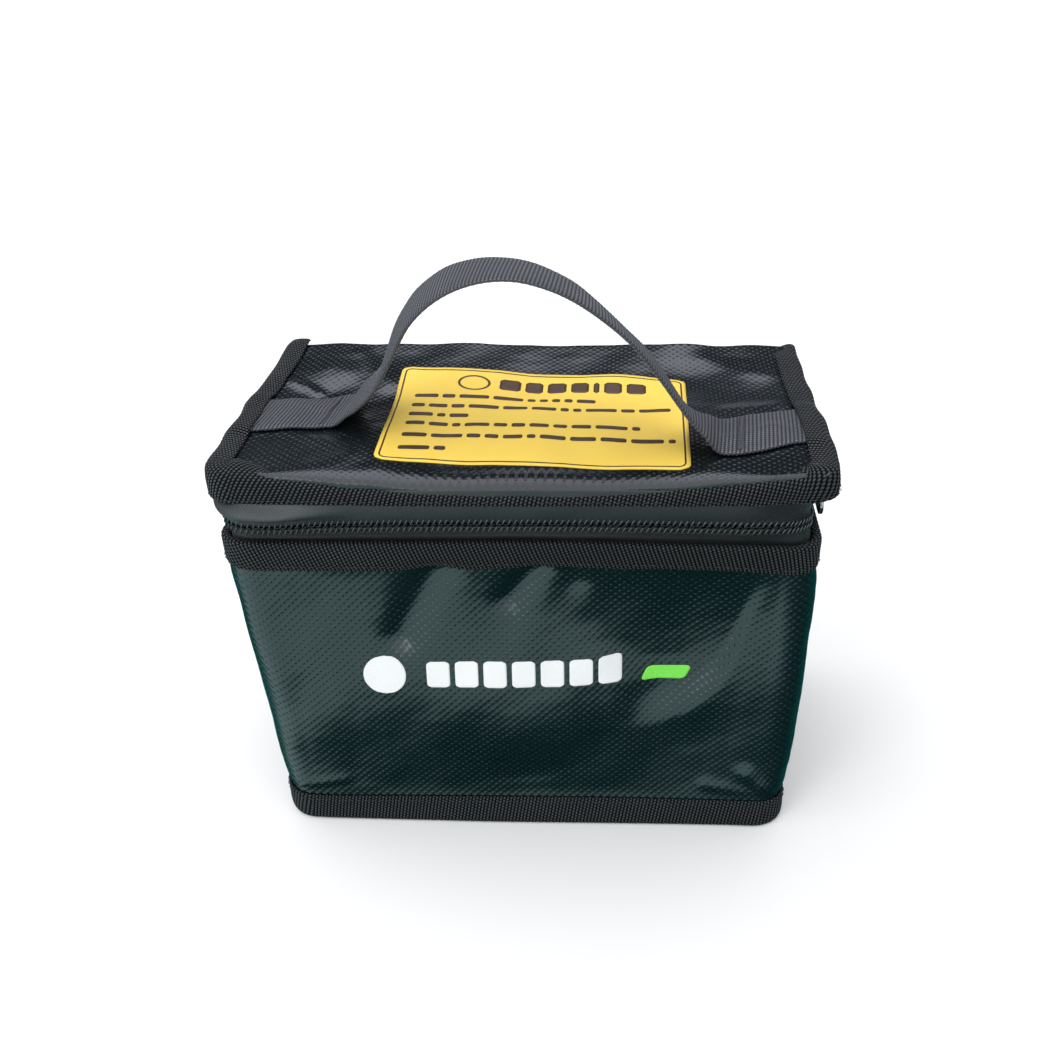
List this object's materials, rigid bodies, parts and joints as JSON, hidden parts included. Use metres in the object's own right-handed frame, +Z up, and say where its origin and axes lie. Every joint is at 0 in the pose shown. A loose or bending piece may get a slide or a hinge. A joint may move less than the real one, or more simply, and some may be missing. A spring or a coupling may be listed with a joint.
{
  "type": "battery safe bag",
  "caption": "Soft rectangular safe bag for lithium battery packs, with a zip-round hinged lid, taped seams, a webbing handle and an insulated lining.",
  "frame": {"origin": "middle of the footprint, on the floor the bag stands on", "axes": "+X to the bag's right as seen from the front, -Y towards the front, +Z up"},
  "size_m": [0.2205, 0.1174, 0.2196],
  "materials": {
    "coated_glass_cloth": "glossy dimpled coating over woven cloth",
    "binding_tape": "ribbed, matt",
    "handle_webbing": "cross-ribbed, slight sheen",
    "glass_fibre_felt": "matt fibrous",
    "liner_cloth": "plain weave, matt",
    "zip_tape": "fine twill with a coated sheen",
    "zip_coil": "moulded coil under stitching",
    "slider_metal": "dark plated, semi-gloss",
    "stitch_thread": "twisted thread",
    "label_film": "printed film, semi-gloss",
    "label_ink": "dark brown ink",
    "print_white": "heat-transfer film over the dimpled cloth",
    "print_green": "heat-transfer film over the dimpled cloth"
  },
  "bodies": {
    "bag": {"front_and_side_wall": "coated_glass_cloth", "back_panel": "coated_glass_cloth", "bottom_panel": "coated_glass_cloth", "bottom_binding": "binding_tape", "mouth_binding": "binding_tape", "back_left_seam_binding": "binding_tape", "back_right_seam_binding": "binding_tape", "wall_insulation": "glass_fibre_felt", "floor_insulation": "glass_fibre_felt", "inner_liner": "liner_cloth", "lower_zip_tape": "zip_tape", "lower_zip_coil": "zip_coil", "left_zip_end_patch": "zip_tape", "right_zip_end_patch": "zip_tape", "front_print_disc": "print_white", "front_print_bar": "print_white", "front_print_accent": "print_green"},
    "lid": {"lid_panel": "coated_glass_cloth", "lid_binding": "binding_tape", "lid_insulation": "glass_fibre_felt", "lid_liner": "liner_cloth", "lid_label": "label_film", "label_keyline": "label_ink", "upper_zip_tape": "zip_tape", "upper_zip_coil": "zip_coil", "handle_left_end": "handle_webbing", "handle_right_end": "handle_webbing", "left_bar_tack": "stitch_thread", "right_bar_tack": "stitch_thread"},
    "handle": {"handle_grip": "handle_webbing"},
    "front_slider": {"front_zip_slider": "slider_metal"},
    "front_pull": {"front_zip_pull": "slider_metal"},
    "rear_slider": {"rear_zip_slider": "slider_metal"},
    "rear_pull": {"rear_zip_pull": "slider_metal"}
  },
  "joints": [
    {"name": "lid_hinge", "type": "hinge", "parent": "bag", "child": "lid", "pos_m": [0, 0.057, 0.162], "axis": [-1, 0, 0], "range_deg": [0, 175]},
    {"name": "handle_swing", "type": "hinge", "parent": "lid", "child": "handle", "pos_m": [0, -0.016, 0.178], "axis": [0.9945, -0.1045, 0], "range_deg": [-75, 75]},
    {"name": "front_slider_travel", "type": "slide", "parent": "bag", "child": "front_slider", "axis": [0, -1, 0], "range_m": [0, 0.025]},
    {"name": "rear_slider_travel", "type": "slide", "parent": "bag", "child": "rear_slider", "axis": [0, 1, 0], "range_m": [0, 0.0275]},
    {"name": "front_pull_swing", "type": "hinge", "parent": "front_slider", "child": "front_pull", "pos_m": [0.10885, -0.013, 0.1405], "axis": [0, 0, 1], "range_deg": [0, 150]},
    {"name": "rear_pull_swing", "type": "hinge", "parent": "rear_slider", "child": "rear_pull", "pos_m": [0.10885, 0.006, 0.1405], "axis": [0, 0, -1], "range_deg": [0, 150]}
  ]
}
